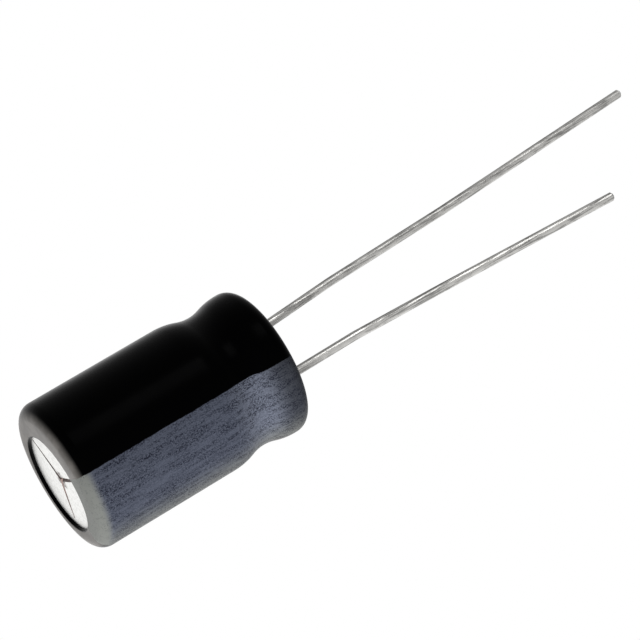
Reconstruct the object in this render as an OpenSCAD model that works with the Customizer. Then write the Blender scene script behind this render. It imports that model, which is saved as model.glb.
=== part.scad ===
// Radial aluminium electrolytic capacitor: a wound foil element in a deep-drawn can, closed by a
// crimped rubber bung and covered by a shrunk plastic sleeve.
// +Z is up, towards the vented end. The origin is on the can's axis, on the seating plane.
// The leads point down. The anode lead is on the -X side and the cathode lead on the +X side.

/* [Case] */
// Diameter of the bare can
can_d = 10; // [10:0.5:12.5]
// Height over the sleeve, from the seating plane to the vented end
case_h = 16; // [14:1:25]
// Wall of the can
can_wall = 0.3; // [0.2:0.05:0.4]
// Thickness of the can's closed end
end_wall = 0.4; // [0.3:0.05:0.5]
// Outer radius of the can's closed-end corner
can_corner_r = 0.8; // [0.6:0.1:1]
// How much smaller in radius the can is below the bead
crimp_draw = 0.075; // [0:0.025:0.1]
// Outer radius of the can's curled rim
rim_corner_r = 0.8; // [0.6:0.1:0.9]
// Radius of the opening left by the curled rim
rim_hole_r = 3.7; // [3.6:0.1:3.9]

/* [Bead] */
// Straight band between the rim's corner and the bead
crimp_land = 0.1; // [0.05:0.05:0.3]
// Depth of the bead in the can
bead_depth = 0.9; // [0.6:0.1:1]
// Radius of the bead's floor in the can
bead_floor_r = 1.2; // [1:0.1:1.3]
// Length from the bead's deepest line to full diameter, towards the vented end
bead_reach_up = 2.5; // [2.4:0.1:3]
// The same length towards the seating plane
bead_reach_down = 2.25; // [2.1:0.05:2.3]
// Depth to which the sleeve dips over the bead
sleeve_dip = 0.44; // [0.3:0.02:0.5]
// Radius of the sleeve's dip
sleeve_dip_r = 3; // [2:0.25:3.25]

/* [Sleeve] */
// Thickness of the sleeve on the side of the can
sleeve_t = 0.125; // [0.1:0.025:0.2]
// Thickness of the sleeve where it has shrunk over the vented end
fold_t = 0.25; // [0.2:0.05:0.4]
// Thickness of the sleeve under the rim
foot_t = 0.15; // [0.1:0.05:0.2]
// Radius of the window over the vent
window_r = 3.36; // [2.8:0.02:3.4]
// How far the window lies off the can's axis, in X and in Y
window_shift = [-0.2, -0.41];
// Radius of the sleeve's opening at the lead end
foot_hole_r = 3.6; // [3.5:0.05:3.8]

/* [Vent] */
// Length of each of the vent's scores from the centre
score_len = 3.3; // [2:0.1:3.6]
// Width of a score at the surface
score_w = 0.3; // [0.2:0.05:0.4]
// Depth of a score
score_depth = 0.18; // [0.1:0.02:0.24]
// Angle of the first score from +X
score_turn = 34; // [0:1:120]

/* [Bung] */
// Height of the bung's top above the seating plane
bung_top = 5.2; // [4.8:0.1:5.4]
// Height of the bung's raised face above the seating plane
bung_face = 0.25; // [0.2:0.05:0.35]
// Gap between the raised face and the rim of the can
bung_face_gap = 0.25; // [0.1:0.05:0.4]
// Radius of the hole around each wire
wire_hole_r = 0.55; // [0.5:0.05:0.6]

/* [Leads] */
// Distance between the two leads
pitch = 5; // [4.5:0.25:5]
// Diameter of the tinned wire
wire_d = 0.6; // [0.5:0.05:0.8]
// Radius of the gentle bends in the wires
bend_r = 10; // [5:1:20]
// Anode wire below the seating plane: outward bend and straight length of each stretch
anode_run = [[5.3, 6], [-2.7, 9], [1.5, 16.15]];
// Cathode wire below the seating plane: outward bend and straight length of each stretch
cathode_run = [[-0.7, 5], [3.6, 6], [0.6, 13.6]];

/* [Tabs] */
// Diameter of a tab's round aluminium stem
stem_d = 1.5; // [1.2:0.1:1.6]
// Height of a stem's lower end above the seating plane
stem_z = 1.1; // [0.9:0.1:1.4]
// How far a stem stands above the bung
stem_proud = 0.2; // [0.1:0.05:0.25]
// Thickness of a tab's flattened blade
blade_t = 0.2; // [0.15:0.05:0.25]
// Width of a blade
blade_w = 1.8; // [1.2:0.1:2]
// Length of a blade inside the winding
blade_len = 7; // [5:0.5:8]

/* [Winding] */
// Radius of the hole left by the winding mandrel
mandrel_r = 0.7; // [0.6:0.1:0.9]
// Number of half turns in the winding, or 0 for as many as the can holds
half_turns = 0; // [0, 21, 23, 25]
// Thickness of the etched anode foil
anode_t = 0.1; // [0.08:0.01:0.11]
// Thickness of the cathode foil
cathode_t = 0.04; // [0.02:0.01:0.05]
// Thickness of one separator paper
paper_t = 0.05; // [0.03:0.01:0.06]
// Gap between neighbouring layers
layer_gap = 0.01; // [0.005:0.005:0.01]
// How far the papers stand past the foils at each end
paper_margin = 0.6; // [0.4:0.1:1]
// Gap between the bung and the winding
winding_gap = 0.7; // [0.6:0.1:0.9]
// Gap between the winding and the can's closed end
winding_end_gap = 0.2; // [0.15:0.05:0.5]
// Gap between the winding and the side of the can
winding_side_gap = 0.08; // [0.06:0.01:0.1]
// Thickness of the closing tape
tape_t = 0.06; // [0.04:0.01:0.08]
// How far past the middle of the winding the closing tape reaches
tape_end_x = 2.5; // [0:0.5:3]

/* [Fit] */
// Gap between pieces that touch all round
fit_gap = 0.02; // [0.01:0.01:0.04]

/* [Hidden] */
$fn = 96;
far = 100;
can_r = can_d / 2;
can_bore_r = can_r - can_wall;
can_top = case_h - fold_t;
can_inside_top = can_top - end_wall;
rim_z = foot_t + can_wall;
bead_z = foot_t + rim_corner_r + crimp_land + bead_reach_down;
wire_r = wire_d / 2;
stem_r = stem_d / 2;
lead_x = pitch / 2;
weld_r = wire_hole_r - fit_gap - 0.05;
tip_bevel = 0.1;
bend_lap_angle = 0.1;
bend_thinning = 0.002;
blade_taper = 0.35;
stem_top = bung_top + stem_proud;
winding_bottom = bung_top + winding_gap;
winding_top = can_inside_top - winding_end_gap;
half_pitch = (anode_t + cathode_t + 2 * paper_t + 4 * layer_gap) / 2;

// Layers from the inside out: each one's thickness and its start within a turn.
INNER_PAPER = 0;
ANODE = 1;
OUTER_PAPER = 2;
CATHODE = 3;
layer_t = [paper_t, anode_t, paper_t, cathode_t];
layer_start = [
    0,
    paper_t + layer_gap,
    paper_t + anode_t + 2 * layer_gap,
    2 * paper_t + anode_t + 3 * layer_gap
];

// Inner radius of a layer on a half turn.
function layer_r(layer, half) = mandrel_r + layer_start[layer] + half * half_pitch;

// Half turn, of the given parity, whose layer has its outer face nearest to a radius.
function half_near(layer, r, parity) =
    2 * round(((r - layer_t[layer] - layer_r(layer, 0)) / half_pitch - parity) / 2) + parity;

// Even half turns lie on the anode's side and odd ones on the cathode's. Their centres lie half a
// half pitch to either side of the axis, so that each half turn runs on into the next.
half_centre = half_pitch / 2;
anode_half = half_near(ANODE, lead_x - blade_t / 2, 0);
cathode_half = half_near(CATHODE, lead_x - blade_t / 2, 1);
anode_face_r = layer_r(ANODE, anode_half) + anode_t;
cathode_face_r = layer_r(CATHODE, cathode_half) + cathode_t;

// Room that the layers outside a blade give it.
function blade_room(face_r) = (blade_t + 2 * layer_gap) / cos(asin(blade_w / 2 / face_r));

// Number of half turns that the can has room for, outside the blades and inside the tape. It is
// odd, so that the papers end over the anode.
winding_room = can_bore_r - winding_side_gap - tape_t - layer_r(CATHODE, 0)
    - norm([half_centre, blade_room(anode_face_r)]);
turns = half_turns > 0 ? half_turns : 2 * floor(winding_room / half_pitch / 2) + 1;

// How far a layer moves out, for the blade that lies inside it.
function layer_shift(r, half) =
    half % 2 == 0
        ? (r > anode_face_r ? blade_room(anode_face_r) : 0)
        : (r > cathode_face_r ? blade_room(cathode_face_r) : 0);

// Half a turn of a strip, on the +Y side, around a centre that is moved up by shift.
module half_ring(r, t, shift) {
    translate([0, shift])
        intersection() {
            difference() {
                circle(r + t);
                circle(r);
            }
            translate([-far / 2, 0])
                square([far, far / 2]);
        }
    if (shift > 0)
        for (x = [-r - t, r])
            translate([x, 0])
                square([t, shift]);
}

// A strip wound from one half turn to another, in the XY plane.
module strip(start_r, t, first, last) {
    for (half = [first : last]) {
        r = start_r + half * half_pitch;
        side = half % 2 == 0 ? 1 : -1;
        translate([-side * half_centre, 0])
            mirror([0, side > 0 ? 0 : 1, 0])
                half_ring(r, t, layer_shift(r, half));
    }
}

// An outline of the winding as a solid, turned so that even half turns face -X.
module wound(bottom, top) {
    translate([0, 0, bottom])
        rotate([0, 0, 90])
            linear_extrude(top - bottom)
                children();
}

// Angle of the arcs that lead into a dip of the given depth and reach.
function dip_angle(depth, reach) = 2 * atan(depth / reach);

// Radius of the shoulder arc, when the dip's floor arc has radius floor_r.
function shoulder_r(depth, reach, floor_r) = reach / sin(dip_angle(depth, reach)) - floor_r;

// Half of a dip, as the area between the axis and its curve. z runs from the deepest line to
// full radius r, and a little into the straight wall. inset moves the curve inwards, as the inner
// face of a wall.
module half_dip(r, depth, reach, floor_r, inset) {
    angle = dip_angle(depth, reach);
    shoulder = shoulder_r(depth, reach, floor_r) - inset;
    floor_arc = floor_r + inset;
    turn_z = floor_arc * sin(angle);
    turn_r = r - inset - depth + floor_arc * (1 - cos(angle));
    difference() {
        square([turn_r, turn_z]);
        translate([r - inset - depth + floor_arc, 0])
            circle(floor_arc);
    }
    intersection() {
        square([r, reach + crimp_land / 2]);
        translate([r - inset - shoulder, reach])
            circle(shoulder);
    }
    square([r - inset - shoulder, reach]);
}

// A rectangle from the axis to radius r, with its outer corner rounded at the top or the foot.
module rounded_end(r, z0, z1, corner, at_top) {
    corner_z = at_top ? z1 - corner : z0 + corner;
    translate([0, at_top ? z0 : corner_z])
        square([r, z1 - z0 - corner]);
    translate([0, z0])
        square([r - corner, z1 - z0]);
    translate([r - corner, corner_z])
        circle(corner);
}

// The half section of a beaded cup, from its axis outwards.
// r is its outer radius above the bead, and inset moves all of it inwards.
module beaded_section(r, depth, floor_r, inset, z0, z1, foot_corner, top_corner) {
    low_r = r - crimp_draw;
    rounded_end(r - inset, bead_z + bead_reach_up, z1, top_corner, true);
    translate([0, bead_z])
        half_dip(r, depth, bead_reach_up, floor_r, inset);
    translate([0, bead_z])
        mirror([0, 1, 0])
            half_dip(low_r, depth - crimp_draw, bead_reach_down, floor_r, inset);
    rounded_end(low_r - inset, z0, bead_z - bead_reach_down, foot_corner, false);
}

module can_section(inset, z0, z1, foot_corner, top_corner) {
    beaded_section(can_r, bead_depth, bead_floor_r, inset, z0, z1, foot_corner, top_corner);
}

// Heat-shrunk sleeve, folded over both ends and open over the vent.
module sleeve() {
    color([0.07, 0.07, 0.08])
        difference() {
            rotate_extrude()
                difference() {
                    beaded_section(
                        can_r + fit_gap + sleeve_t, sleeve_dip, sleeve_dip_r, 0,
                        0, case_h, rim_corner_r + sleeve_t, can_corner_r + sleeve_t
                    );
                    beaded_section(
                        can_r + fit_gap + sleeve_t, sleeve_dip, sleeve_dip_r, sleeve_t,
                        foot_t, can_top + fit_gap, rim_corner_r, can_corner_r
                    );
                    square([foot_hole_r, case_h / 2]);
                }
            translate([window_shift[0], window_shift[1], case_h - 2 * fold_t])
                cylinder(h = case_h, r = window_r);
        }
}

// One score of the vent: a V-shaped groove with a pointed end.
module score() {
    translate([0, 0, can_top])
        rotate([90, 0, 90])
            linear_extrude(score_len)
                polygon([
                    [-score_w / 2, 0],
                    [0, -score_depth],
                    [score_w / 2, 0],
                    [score_w / 2, fold_t],
                    [-score_w / 2, fold_t]
                ]);
}

// Deep-drawn can with its bead, its rim curled over the bung and three scores in its end.
module can() {
    color([0.86, 0.86, 0.87])
        difference() {
            rotate_extrude()
                difference() {
                    can_section(0, foot_t, can_top, rim_corner_r, can_corner_r);
                    can_section(
                        can_wall, rim_z, can_inside_top,
                        rim_corner_r - can_wall, can_corner_r - can_wall
                    );
                    square([rim_hole_r + can_wall / 2, rim_z + can_wall]);
                }
            rotate_extrude()
                translate([rim_hole_r + can_wall / 2, foot_t + can_wall / 2])
                    circle(can_wall / 2);
            for (turn = [0 : 120 : 240])
                rotate([0, 0, score_turn + turn])
                    score();
        }
}

// Rubber bung, squeezed by the bead, with a stepped hole for each lead.
module bung() {
    color([0.12, 0.12, 0.12])
        difference() {
            union() {
                rotate_extrude()
                    intersection() {
                        can_section(
                            can_wall + fit_gap, rim_z + fit_gap, can_inside_top,
                            rim_corner_r - can_wall - fit_gap, can_corner_r - can_wall
                        );
                        square([can_r, bung_top]);
                    }
                translate([0, 0, bung_face])
                    cylinder(h = bung_top / 2, r = rim_hole_r - bung_face_gap);
            }
            for (x = [-lead_x, lead_x])
                translate([x, 0, 0]) {
                    cylinder(h = case_h, r = wire_hole_r);
                    translate([0, 0, stem_z])
                        cylinder(h = case_h, r = stem_r + fit_gap);
                }
        }
}

// A bend of the wire towards +X, from the origin and along +Z. It is a little thinner than the
// straight stretches, and its ends reach a little way into them.
module wire_bend(angle) {
    translate([bend_r, 0, 0])
        mirror([1, 0, 0])
            rotate([90, 0, 0])
                rotate([0, 0, -bend_lap_angle])
                    rotate_extrude(angle = angle + 2 * bend_lap_angle)
                        translate([bend_r, 0])
                            circle(wire_r - bend_thinning);
}

// A bend towards +X, or towards -X where the angle is negative, and what follows it.
module bent(angle) {
    size = abs(angle);
    turned = angle < 0 ? 1 : 0;
    mirror([turned, 0, 0]) {
        wire_bend(size);
        translate([bend_r * (1 - cos(size)), 0, bend_r * sin(size)])
            rotate([0, size, 0])
                mirror([turned, 0, 0])
                    children();
    }
}

// The stretches of a wire from number i on, along +Z from the origin, with a bevelled tip.
module stretches(run, i = 0) {
    length = run[i][1];
    is_last = i == len(run) - 1;
    bent(run[i][0]) {
        cylinder(h = length, r = wire_r);
        translate([0, 0, length])
            if (is_last)
                cylinder(h = tip_bevel, r1 = wire_r, r2 = wire_r - tip_bevel);
            else
                stretches(run, i + 1);
    }
}

// The round nugget that welds a wire to its stem.
module weld() {
    intersection() {
        translate([0, 0, weld_r / 3])
            sphere(weld_r);
        cylinder(h = 2 * weld_r, r = stem_r);
    }
}

// A tinned wire on the +X side, welded under its tab's stem and hanging through the bung.
module lead(run) {
    color([0.75, 0.75, 0.74])
        translate([lead_x, 0, stem_z])
            rotate([180, 0, 0]) {
                weld();
                cylinder(h = stem_z, r = wire_r);
                translate([0, 0, stem_z])
                    stretches(run);
            }
}

module anode_lead() {
    mirror([1, 0, 0])
        lead(anode_run);
}

module cathode_lead() {
    lead(cathode_run);
}

// A tab on the +X side: a round stem in the bung, drawn down to a blade that follows the winding.
module tab(face_r, centre_y) {
    color([0.8, 0.8, 0.82]) {
        translate([lead_x, 0, stem_z])
            cylinder(h = stem_top - stem_z, r = stem_r);
        translate([lead_x, 0, stem_top])
            cylinder(h = blade_taper, r1 = stem_r, r2 = blade_t);
        translate([0, centre_y, stem_top])
            linear_extrude(winding_bottom + blade_len - stem_top)
                intersection() {
                    difference() {
                        circle(face_r + layer_gap / 2 + blade_t);
                        circle(face_r + layer_gap / 2);
                    }
                    translate([0, -blade_w / 2])
                        square([2 * lead_x, blade_w]);
                }
    }
}

module anode_tab() {
    mirror([1, 0, 0])
        tab(anode_face_r, -half_centre);
}

module cathode_tab() {
    tab(cathode_face_r, half_centre);
}

// Etched and formed anode foil.
module anode_foil() {
    color([0.62, 0.62, 0.6])
        wound(winding_bottom + paper_margin, winding_top - paper_margin)
            strip(layer_r(ANODE, 0), anode_t, 2, turns - 3);
}

// Plain cathode foil.
module cathode_foil() {
    color([0.78, 0.78, 0.8])
        wound(winding_bottom + paper_margin, winding_top - paper_margin)
            strip(layer_r(CATHODE, 0), cathode_t, 2, turns - 2);
}

// Separator paper inside the anode foil.
module inner_separator() {
    color([0.85, 0.78, 0.62])
        wound(winding_bottom, winding_top)
            strip(layer_r(INNER_PAPER, 0), paper_t, 0, turns - 1);
}

// Separator paper between the anode foil and the cathode foil.
module outer_separator() {
    color([0.88, 0.82, 0.68])
        wound(winding_bottom, winding_top)
            strip(layer_r(OUTER_PAPER, 0), paper_t, 0, turns - 1);
}

// Tape that holds the end of the winding: it runs over the papers' last half turn, down the step
// at their ends and round the foil below.
module closing_tape() {
    last = turns - 1;
    over_r = layer_r(CATHODE, last);
    under_r = layer_r(CATHODE, last - 1) + cathode_t + layer_gap;
    over_x = -half_centre - over_r - tape_t;
    under_x = half_centre - under_r;
    color([0.8, 0.72, 0.5])
        wound(winding_bottom + 2 * paper_margin, winding_top - 2 * paper_margin)
            intersection() {
                union() {
                    strip(over_r - last * half_pitch, tape_t, last, last);
                    translate([over_x, -layer_gap - tape_t])
                        square([tape_t, layer_gap + tape_t]);
                    translate([over_x, -layer_gap - tape_t])
                        square([under_x - over_x, tape_t]);
                    strip(under_r - (last - 1) * half_pitch, tape_t, last - 1, last - 1);
                }
                translate([-far, -far / 2])
                    square([far + tape_end_x, far]);
            }
}

sleeve();
can();
bung();
anode_lead();
cathode_lead();
anode_tab();
cathode_tab();
anode_foil();
cathode_foil();
inner_separator();
outer_separator();
closing_tape();
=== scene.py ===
"""A radial aluminium electrolytic capacitor: its detailed pieces, their finishes and the studio.

The pieces are built round the fixed CAD frame, in its coordinates: +Z towards the vented end, the
origin on the seating plane, the anode lead on the -X side and the cathode lead on the +X side.
"""

import math

import bmesh
import bpy
from bpy.props import FloatProperty, FloatVectorProperty, IntProperty, PointerProperty
from mathutils import Matrix, Quaternion, Vector, noise


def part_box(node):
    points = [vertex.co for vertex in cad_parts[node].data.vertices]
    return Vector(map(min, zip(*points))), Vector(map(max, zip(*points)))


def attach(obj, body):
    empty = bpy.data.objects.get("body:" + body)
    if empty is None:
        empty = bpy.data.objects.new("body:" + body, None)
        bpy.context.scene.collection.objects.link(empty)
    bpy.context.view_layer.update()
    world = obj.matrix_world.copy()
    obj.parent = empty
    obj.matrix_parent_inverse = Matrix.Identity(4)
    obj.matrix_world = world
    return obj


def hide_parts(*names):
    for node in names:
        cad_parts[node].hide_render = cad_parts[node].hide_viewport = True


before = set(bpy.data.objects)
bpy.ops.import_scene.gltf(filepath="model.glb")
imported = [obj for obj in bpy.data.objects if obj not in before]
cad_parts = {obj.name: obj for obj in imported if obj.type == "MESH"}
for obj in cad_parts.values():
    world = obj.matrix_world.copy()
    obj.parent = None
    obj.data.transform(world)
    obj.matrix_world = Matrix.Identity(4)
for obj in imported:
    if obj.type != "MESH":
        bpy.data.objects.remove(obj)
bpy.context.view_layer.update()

bl_info = {
    "name": "Radial Electrolytic Capacitor",
    "version": (1, 0, 0),
    "blender": (4, 5, 0),
    "location": "3D View > Sidebar > Capacitor",
    "description": "Builds a radial capacitor's sleeve, can, bung and leads on its CAD frame",
    "category": "Add Mesh",
}

MM = 0.001
SLEEVE_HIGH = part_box("sleeve")[1]
CAN_LOW, CAN_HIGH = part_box("can")
BUNG_LOW, BUNG_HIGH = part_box("bung")
TAB_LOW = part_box("cathode_tab")[0]
LEAD_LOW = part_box("anode_lead")[0]

# How finely the shapes are drawn.
QUARTER = math.pi / 2
BEAD_STEP = math.radians(2)
WALL_ROWS = 6
CORNER_SEGMENTS = 4
PIN_SEGMENTS = 64
WIRE_SEGMENTS = 32
BEND_STEPS = 6
STRETCH_ROWS = 6
SHARP_ANGLE = math.radians(35)
SEAM_REACH = 1e-8
MERGE_REACH = 1e-7

# The small shapes that no setting gives.
FILM_GAP = 0.02 * MM
WAVE_SCALE = 420
WAVE_STRETCH = 0.7
BUNG_HUB = 0.5 * MM
PAINTED_DEPTH = 1.2
SURFACE_SKIN = 0.001 * MM

# The sleeve's finish: heights on the part, bearings in radians and noise scales per metre.
# The next two spans are the heights of the painted sheen over the end fold, first on the ink and
# then on the film.
STRIPE_SHEEN_HEIGHTS = (15.0 * MM, 15.6 * MM)
FOLD_SHEEN_HEIGHTS = (15.6 * MM, 15.98 * MM)
# Height above the bead's deepest line at which the painted highlight in the dip starts to fade.
GROOVE_HIGHLIGHT_RISE = 0.6 * MM
LIP_BLUR = 0.04 * MM
# Bearings over which the painted sheen rises towards the stripe's lower edge.
SHEEN_BEARINGS = (-0.62, -0.05)
STRIPE_BLUR = (0.006, 0.014)
STRIPE_WOBBLE = 0.02
WOBBLE_SCALE = 1500
SPECK_SCALE, SPECK_PATCH, SPECK_STRETCH = 14000, 900, (1, 1, 0.7)
STREAK_SCALE, STREAK_STRETCH = 3600, (1, 1, 0.12)
FILM_ROUGHNESS = (0.20, 0.24)
INK_ROUGHNESS = (0.34, 0.46)
INK_RELIEF, FILM_RELIEF = 1.6, 0.12
RELIEF_HEIGHT = 0.006 * MM
FILM_IOR = 1.13
FILM_FACING = 0.12

# The painted shade where the vent's scores meet, and the wires' finish.
VENT_SHADE_SCALE = 5000
VENT_SHADE_REACH = 1.1 * MM
VENT_SHADE_EDGE = (0.95 * MM, 1.25 * MM)
VENT_SHADE_SHARE = 0.8
VENT_SHADE_DEPTHS = (0.25 * MM, 0.2 * MM)
WIRE_METALLIC = 0.75
WIRE_FACING = 0.16

# The studio.
SENSOR_WIDTH = 36
CLIP_START, CLIP_END = 0.01, 10
FLOOR_DROP = 0.2 * MM
PAPER_EDGE = (0.2, 0.82)
LIGHT_AIM = (0, 0, 8 * MM)
LIGHT_DISTANCE = 0.35
KEY_FROM, KEY_SIZE = (0.80, -0.25, 0.62), 0.22
FILL_FROM, FILL_SIZE = (0.10, 0.94, -0.33), 0.12


def length(name, description, default, **more):
    """A length property in metres."""
    return FloatProperty(
        name=name, description=description, default=default, unit="LENGTH", precision=5, **more
    )


def colour(name, description, default):
    """A colour property."""
    return FloatVectorProperty(
        name=name, description=description, default=default, subtype="COLOR", size=3, min=0, max=1
    )


class BeadSizes(bpy.types.PropertyGroup):
    """The bead that squeezes the can on to the bung, and the wall around it."""

    height: length("Bead Height", "Height of the bead's deepest line", 3.3 * MM)
    reach_up: length("Reach Up", "From the deepest line up to the full diameter", 2.5 * MM)
    reach_down: length("Reach Down", "From the deepest line down to the full diameter", 2.25 * MM)
    crimp_draw: length("Crimp Draw", "How much smaller the radius is below the bead", 0.075 * MM)
    turn_steps: IntProperty(
        name="Steps Round", description="Number of faces round the body", default=240, min=32
    )


class SleeveSizes(bpy.types.PropertyGroup):
    """The heat-shrunk sleeve."""

    wall: length("Wall", "Thickness on the side of the can", 0.125 * MM)
    dip: length("Dip", "How deep the sleeve dips over the bead", 0.44 * MM)
    dip_radius: length("Dip Radius", "Radius of the dip's floor", 3.0 * MM)
    end_corner: length("End Corner", "Radius of the corner at the vented end", 0.925 * MM)
    foot_corner: length("Foot Corner", "Radius of the corner at the lead end", 0.925 * MM)
    window: length("Window", "Radius of the window over the vent", 3.36 * MM)
    window_shift: FloatVectorProperty(
        name="Window Shift", description="How far the window lies off the can's axis", size=2,
        unit="LENGTH", default=(-0.2 * MM, -0.41 * MM),
    )
    lip_round: length("Lip Round", "Rounding of the lip round the window", 0.08 * MM)
    foot_hole: length("Foot Hole", "Radius of the opening at the lead end", 3.6 * MM)
    shrink_waves: length("Shrink Waves", "Height of the waves left by shrinking", 0.008 * MM)


class SleeveLooks(bpy.types.PropertyGroup):
    """Colours of the sleeve and of the polarity stripe printed on it, with painted sheen over the
    end fold and the stripe's lower edge, a painted highlight in the dip and painted shade over the
    rim.
    """

    film: colour("Film", "The black film", (0.0006, 0.0006, 0.0007))
    # Painted reflection: the grey sheen of the white room on the black film over the end fold.
    fold_sheen: colour("Fold", "Painted sheen of the white room on the film over the end", (0.120, 0.113, 0.106))
    stripe: colour("Stripe", "Ink of the polarity stripe", (0.074, 0.083, 0.111))
    stripe_speck: colour("Stripe Specks", "Film that shows through the ink", (0.008, 0.009, 0.016))
    # Painted reflection: the neutral grey sheen of the white room on the stripe over the end fold
    # and towards its lower edge.
    stripe_sheen: colour("Stripe Sheen", "Painted sheen on the ink over the end and towards its lower edge", (0.135, 0.140, 0.132))
    # Painted highlight: the lighter blue-grey of the dip over the bead, where it faces the light.
    stripe_groove_highlight: colour("Stripe Groove Highlight", "Painted highlight on the ink in the dip over the bead", (0.145, 0.160, 0.205))
    # Painted shade: the darker ink below the bead, where the sleeve turns away from the light.
    stripe_rim_shade: colour("Stripe Rim Shade", "Painted shade on the ink over the rim", (0.046, 0.050, 0.060))
    stripe_half_angle: FloatProperty(
        name="Stripe Half Angle",
        description="Half of the angle that the stripe takes of the sleeve",
        default=math.radians(38.0),
        unit="ROTATION",
    )
    stripe_shift: FloatProperty(
        name="Stripe Shift",
        description="How much narrower the stripe is below the bead",
        default=math.radians(2.0),
        unit="ROTATION",
    )


class CanSizes(bpy.types.PropertyGroup):
    """The deep-drawn can and the scores of its vent."""

    wall: length("Wall", "Thickness of the can's wall", 0.3 * MM)
    end_wall: length("End Wall", "Thickness of the closed end", 0.4 * MM)
    bead_depth: length("Bead Depth", "Depth of the bead", 0.9 * MM)
    bead_radius: length("Bead Radius", "Radius of the bead's floor", 1.2 * MM)
    corner: length("Corner", "Outer radius of the can's corners", 0.8 * MM)
    rim_hole: length("Rim Hole", "Radius of the opening left by the curled rim", 3.7 * MM)
    score_length: length("Score Length", "Length of a score from the centre", 3.3 * MM)
    score_width: length("Score Width", "Width of a score at the surface", 0.3 * MM)
    score_depth: length("Score Depth", "Depth of a score", 0.18 * MM)
    score_turn: FloatProperty(
        name="Score Turn",
        description="Angle of the first score from the cathode's side",
        default=math.radians(34.0),
        unit="ROTATION",
    )


class BungSizes(bpy.types.PropertyGroup):
    """The rubber bung."""

    fit: length("Fit", "Gap between the bung and the can", 0.02 * MM)
    face_gap: length("Face Gap", "Gap between the raised face and the rim", 0.25 * MM)
    wire_hole: length("Wire Hole", "Radius of the hole round each wire", 0.55 * MM)
    stem_hole: length("Stem Hole", "Radius of the hole round each stem", 0.77 * MM)
    face_edge: length("Face Edge", "Rounding of the raised face's edge", 0.06 * MM)


class LeadSizes(bpy.types.PropertyGroup):
    """The two tinned wires below the bung."""

    pitch: length("Pitch", "Distance between the wires at the bung", 5.0 * MM)
    radius: length("Radius", "Radius of the wire", 0.3 * MM)
    bend_radius: length("Bend Radius", "Radius of the gentle bends", 10.0 * MM)
    weld_radius: length("Weld Radius", "Radius of the nugget under the stem", 0.48 * MM)
    tip_bevel: length("Tip Bevel", "Bevel at the cut end", 0.1 * MM)
    anode_bends: FloatVectorProperty(
        name="Anode Bends",
        description="Outward bend before each straight stretch of the anode wire",
        size=3,
        unit="ROTATION",
        default=[math.radians(a) for a in (5.3, -2.7, 1.5)],
    )
    anode_lengths: FloatVectorProperty(
        name="Anode Lengths",
        description="Length of each straight stretch of the anode wire",
        size=3,
        unit="LENGTH",
        default=[a * MM for a in (6, 9, 16.15)],
    )
    cathode_bends: FloatVectorProperty(
        name="Cathode Bends",
        description="Outward bend before each straight stretch of the cathode wire",
        size=3,
        unit="ROTATION",
        default=[math.radians(a) for a in (-0.7, 3.6, 0.6)],
    )
    cathode_lengths: FloatVectorProperty(
        name="Cathode Lengths",
        description="Length of each straight stretch of the cathode wire",
        size=3,
        unit="LENGTH",
        default=[a * MM for a in (5, 6, 13.6)],
    )


class MetalLooks(bpy.types.PropertyGroup):
    """Colours of the bare metals, the painted shade in the vent's scores, the rubber and the
    winding's materials.
    """

    aluminium: colour("Aluminium", "The can and the tabs", (0.94, 0.94, 0.92))
    # The score colour is painted shade: the dark brown that the vent's scores show in shadow.
    score: colour("Score", "Painted shade in the vent's scores", (0.14, 0.105, 0.095))
    tin: colour("Tin", "The tinned wires", (0.86, 0.85, 0.82))
    rubber: colour("Rubber", "The bung", (0.016, 0.016, 0.016))
    etched_foil: colour("Etched Foil", "The anode foil", (0.34, 0.34, 0.32))
    plain_foil: colour("Plain Foil", "The cathode foil", (0.60, 0.60, 0.62))
    paper: colour("Paper", "The separators", (0.62, 0.50, 0.32))
    tape: colour("Tape", "The closing tape", (0.52, 0.40, 0.18))


class StudioSettings(bpy.types.PropertyGroup):
    """The camera, the floor and the lights."""

    camera_azimuth: FloatProperty(
        name="Camera Azimuth", description="Direction of the camera round the part",
        default=math.radians(133.715), unit="ROTATION",
    )
    camera_elevation: FloatProperty(
        name="Camera Elevation", description="Camera's angle above the seating plane",
        default=math.radians(19.451), unit="ROTATION",
    )
    camera_roll: FloatProperty(
        name="Camera Roll", description="Turn of the camera about its own axis",
        default=math.radians(-120.672), unit="ROTATION",
    )
    camera_distance: length("Camera Distance", "From the camera to the aim", 184.99 * MM)
    camera_aim: FloatVectorProperty(
        name="Camera Aim", description="Point that the camera looks at", size=3, unit="LENGTH",
        default=(0.765 * MM, 1.169 * MM, -3.854 * MM),
    )
    lens: FloatProperty(name="Lens", description="Focal length in millimetres", default=162.34)
    floor_size: length("Floor Size", "Side of the floor", 3.0)
    paper_light: FloatProperty(
        name="Paper Light", description="Brightness of the white paper round the part", default=1.0
    )
    paper_heading: FloatVectorProperty(
        name="Paper Heading", description="Direction of the paper's brightest part", size=3,
        default=(-0.455, -0.862, 0.226),
    )
    front_light: FloatProperty(
        name="Front Light", description="Brightness of the room in front", default=0.33
    )
    key_power: FloatProperty(
        name="Key Power", description="Power of the key softbox", default=2.0, unit="POWER"
    )
    fill_power: FloatProperty(
        name="Fill Power", description="Power of the low softbox that draws streaks on the wires",
        default=0.16, unit="POWER",
    )


class CapacitorSettings(bpy.types.PropertyGroup):
    """Everything that can be set."""

    bead: PointerProperty(type=BeadSizes)
    sleeve: PointerProperty(type=SleeveSizes)
    sleeve_looks: PointerProperty(type=SleeveLooks)
    can: PointerProperty(type=CanSizes)
    bung: PointerProperty(type=BungSizes)
    leads: PointerProperty(type=LeadSizes)
    metals: PointerProperty(type=MetalLooks)
    studio: PointerProperty(type=StudioSettings)


# Outlines are drawn in the XZ plane, as (radius, height), and then spun about Z.


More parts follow.
